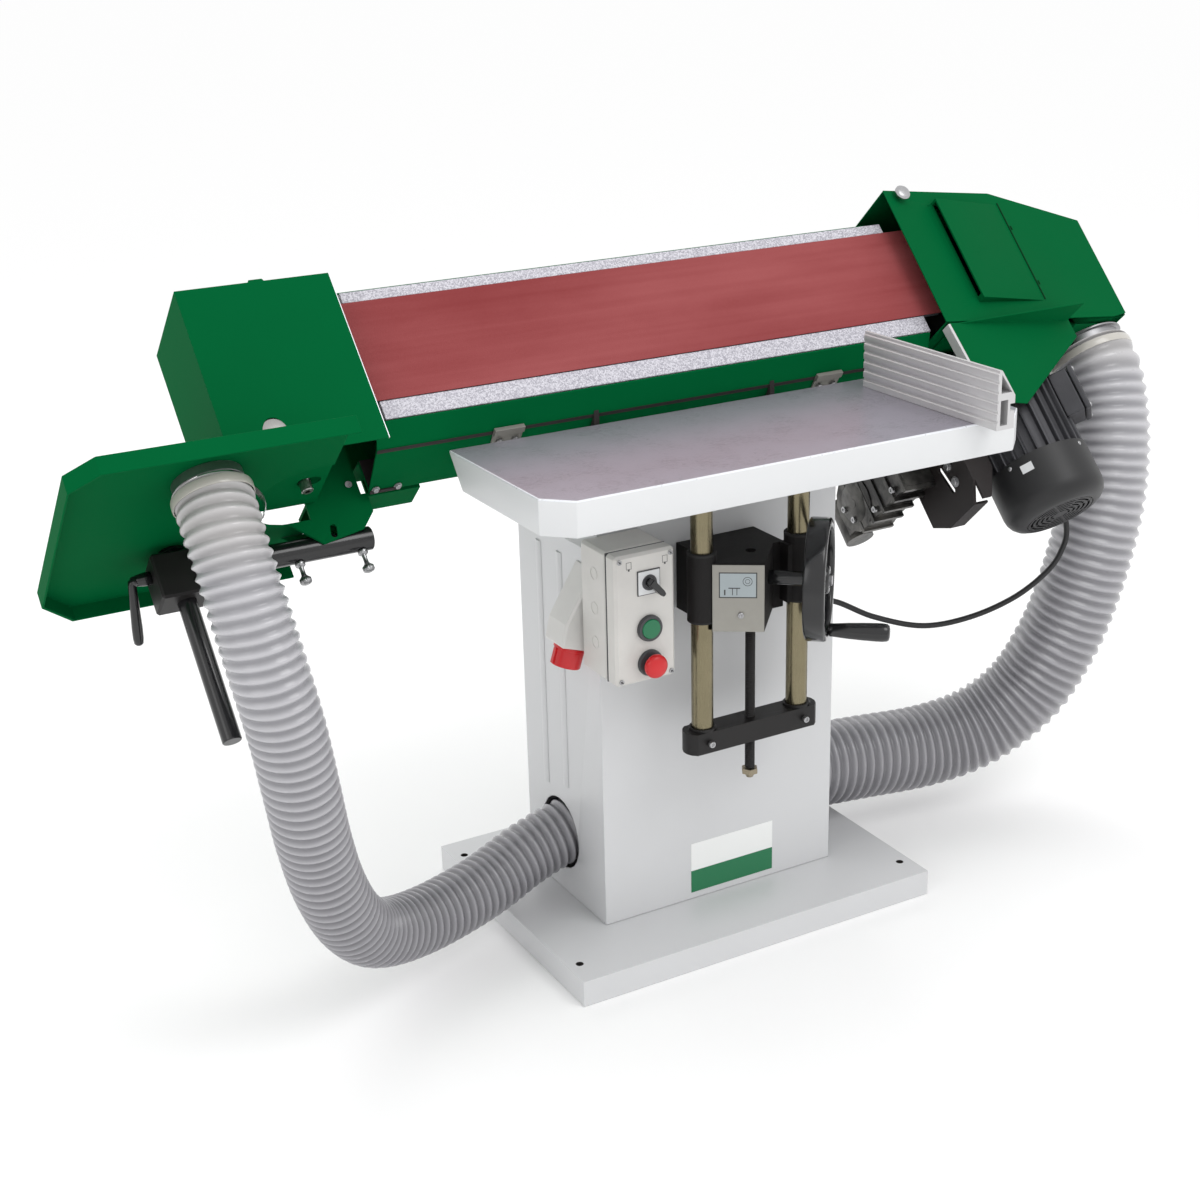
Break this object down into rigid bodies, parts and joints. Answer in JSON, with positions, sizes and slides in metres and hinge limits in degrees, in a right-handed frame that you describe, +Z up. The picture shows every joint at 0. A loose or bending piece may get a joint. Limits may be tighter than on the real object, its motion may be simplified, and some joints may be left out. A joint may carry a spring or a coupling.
{
  "type": "edge belt sander",
  "caption": "Stationary edge belt sander: a long belt unit that tilts on a cabinet stand, with a rising work table, an end table, a motor and two dust hoses.",
  "frame": {"origin": "on the floor, under the middle of the base tray", "axes": "+X along the sanding belt towards the motor, +Y to the back of the machine, +Z up"},
  "size_m": [1.7614, 0.648, 1.0417],
  "materials": {
    "white_enamel": "gloss powder coat",
    "black_enamel": "satin",
    "green_enamel": "semi-gloss powder coat",
    "light_plastic": "fine texture",
    "red_plastic": "gloss",
    "green_plastic": "gloss",
    "black_plastic": "gloss",
    "ground_iron": "ground satin",
    "ground_steel": "ground",
    "bright_steel": "zinc plated",
    "aluminium": "milled",
    "galvanised": "spangled zinc",
    "abrasive_cloth": "matt grit on cloth",
    "roller_rubber": "matt",
    "motor_alloy": "grey paint on cast alloy",
    "hose_pvc": "ribbed, glossy",
    "cable_rubber": "satin"
  },
  "bodies": {
    "stand": {"base_tray": "white_enamel", "column": "white_enamel", "rear_panel": "white_enamel", "dust_outlet": "black_enamel", "pivot_lug_left": "black_enamel", "pivot_lug_right": "black_enamel", "control_box": "light_plastic", "control_lid": "light_plastic", "inlet_housing": "light_plastic", "inlet_collar": "red_plastic", "lift_block": "black_enamel", "left_hose": "hose_pvc", "right_hose": "hose_pvc", "motor_cable": "cable_rubber"},
    "table": {"table_top": "ground_iron", "post_left": "ground_steel", "post_right": "ground_steel", "cross_bar": "black_enamel"},
    "fence": {"fence": "aluminium"},
    "wheel": {"handwheel": "black_plastic"},
    "grip": {"crank_grip": "black_plastic"},
    "spindle": {"lift_spindle": "black_enamel"},
    "switch": {"rotary_switch": "black_plastic"},
    "start": {"start_button": "green_plastic"},
    "stop": {"stop_button": "red_plastic"},
    "unit": {"belt_frame": "black_enamel", "platen": "ground_iron", "rail_lower": "galvanised", "rail_upper": "galvanised", "rear_guard": "green_enamel", "tilt_arm_left": "black_enamel", "tilt_arm_right": "black_enamel", "idler_cover": "green_enamel", "drive_hood": "green_enamel", "drive_spigot": "bright_steel", "drive_flap": "green_enamel", "motor_mount": "black_enamel", "motor_body": "motor_alloy", "terminal_box": "motor_alloy", "fan_cover": "black_plastic", "gear_bracket": "black_enamel", "gear_housing": "motor_alloy", "arm_bracket": "green_enamel", "arm_tube": "black_enamel", "clamp_block": "black_enamel", "sanding_belt": "abrasive_cloth"},
    "rotor": {"drive_roller": "roller_rubber", "motor_shaft": "bright_steel", "cooling_fan": "black_plastic"},
    "carriage": {"idler_fork": "bright_steel", "idler_shaft": "bright_steel"},
    "idler": {"idler_roller": "aluminium"},
    "door": {"drive_door": "green_enamel"},
    "knob": {"door_knob": "bright_steel"},
    "aux": {"aux_table": "green_enamel", "aux_spigot": "bright_steel", "aux_rod": "black_enamel"},
    "lever": {"clamp_lever": "black_plastic"},
    "screw_inner": {"thumb_screw_2": "bright_steel"},
    "screw_outer": {"thumb_screw_1": "bright_steel"}
  },
  "joints": [
    {"name": "handwheel_spin", "type": "hinge", "parent": "stand", "child": "wheel", "pos_m": [0.064, -0.2785, 0.582], "axis": [0.7547, -0.6561, 0], "range_deg": [-1000, 3960]},
    {"name": "table_lift", "type": "slide", "parent": "stand", "child": "table", "axis": [0, 0, 1], "range_m": [-0.029, 0.112]},
    {"name": "spindle_spin", "type": "hinge", "parent": "stand", "child": "spindle", "pos_m": [-0.005, -0.204, 0.6], "axis": [0, 0, 1], "range_deg": [-1010, 3970]},
    {"name": "grip_spin", "type": "hinge", "parent": "wheel", "child": "grip", "pos_m": [0.07177, -0.28526, 0.508], "axis": [0.7547, -0.6561, 0], "continuous": true},
    {"name": "fence_slide", "type": "slide", "parent": "table", "child": "fence", "axis": [1, 0, 0], "range_m": [-0.12, 0.06]},
    {"name": "rotary_switch_turn", "type": "hinge", "parent": "stand", "child": "switch", "pos_m": [-0.176, -0.2145, 0.607], "axis": [0, -1, 0], "range_deg": [0, 90]},
    {"name": "start_press", "type": "slide", "parent": "stand", "child": "start", "axis": [0, 1, 0], "range_m": [0, 0.004], "stiffness_N_per_m": 600},
    {"name": "stop_press", "type": "slide", "parent": "stand", "child": "stop", "axis": [0, 1, 0], "range_m": [0, 0.004], "stiffness_N_per_m": 600},
    {"name": "unit_tilt", "type": "hinge", "parent": "stand", "child": "unit", "pos_m": [0, 0.10811, 0.7643], "axis": [1, 0, 0], "range_deg": [-46.7, 43.3], "deforming": ["left_hose", "right_hose", "motor_cable"]},
    {"name": "drive_spin", "type": "hinge", "parent": "unit", "child": "rotor", "pos_m": [0.549, 0.00988, 0.81316], "axis": [0, 0.6858, 0.7278], "continuous": true},
    {"name": "belt_tension", "type": "slide", "parent": "unit", "child": "carriage", "axis": [1, 0, 0], "range_m": [0, 0.01]},
    {"name": "idler_spin", "type": "hinge", "parent": "carriage", "child": "idler", "pos_m": [-0.59, -0.00722, 0.82928], "axis": [0, 0.6858, 0.7278], "continuous": true},
    {"name": "drive_door", "type": "hinge", "parent": "unit", "child": "door", "pos_m": [0.8375, 0.0293, 0.87731], "axis": [0, 0.6858, 0.7278], "range_deg": [0, 95]},
    {"name": "door_knob_turn", "type": "hinge", "parent": "door", "child": "knob", "pos_m": [0.4445, 0.06427, 1.02504], "axis": [0, 0.7278, -0.6858], "continuous": true},
    {"name": "aux_lift", "type": "slide", "parent": "unit", "child": "aux", "axis": [0, 0.6858, 0.7278], "range_m": [0, 0.015]},
    {"name": "clamp_lever_turn", "type": "hinge", "parent": "unit", "child": "lever", "pos_m": [-0.7933, -0.02785, 0.67834], "axis": [-1, 0, 0], "range_deg": [-60, 60]},
    {"name": "thumb_screw_inner_turn", "type": "hinge", "parent": "unit", "child": "screw_inner", "pos_m": [-0.512, -0.04075, 0.66466], "axis": [0, 0.6858, 0.7278], "continuous": true},
    {"name": "thumb_screw_outer_turn", "type": "hinge", "parent": "unit", "child": "screw_outer", "pos_m": [-0.6, -0.04075, 0.66466], "axis": [0, 0.6858, 0.7278], "continuous": true}
  ],
  "couplings": [
    {"joint": "table_lift", "follows": "handwheel_spin", "m_per_rad": 0.0015915},
    {"joint": "spindle_spin", "follows": "handwheel_spin", "ratio": 1},
    {"joint": "idler_spin", "follows": "drive_spin", "ratio": 1.4563}
  ]
}
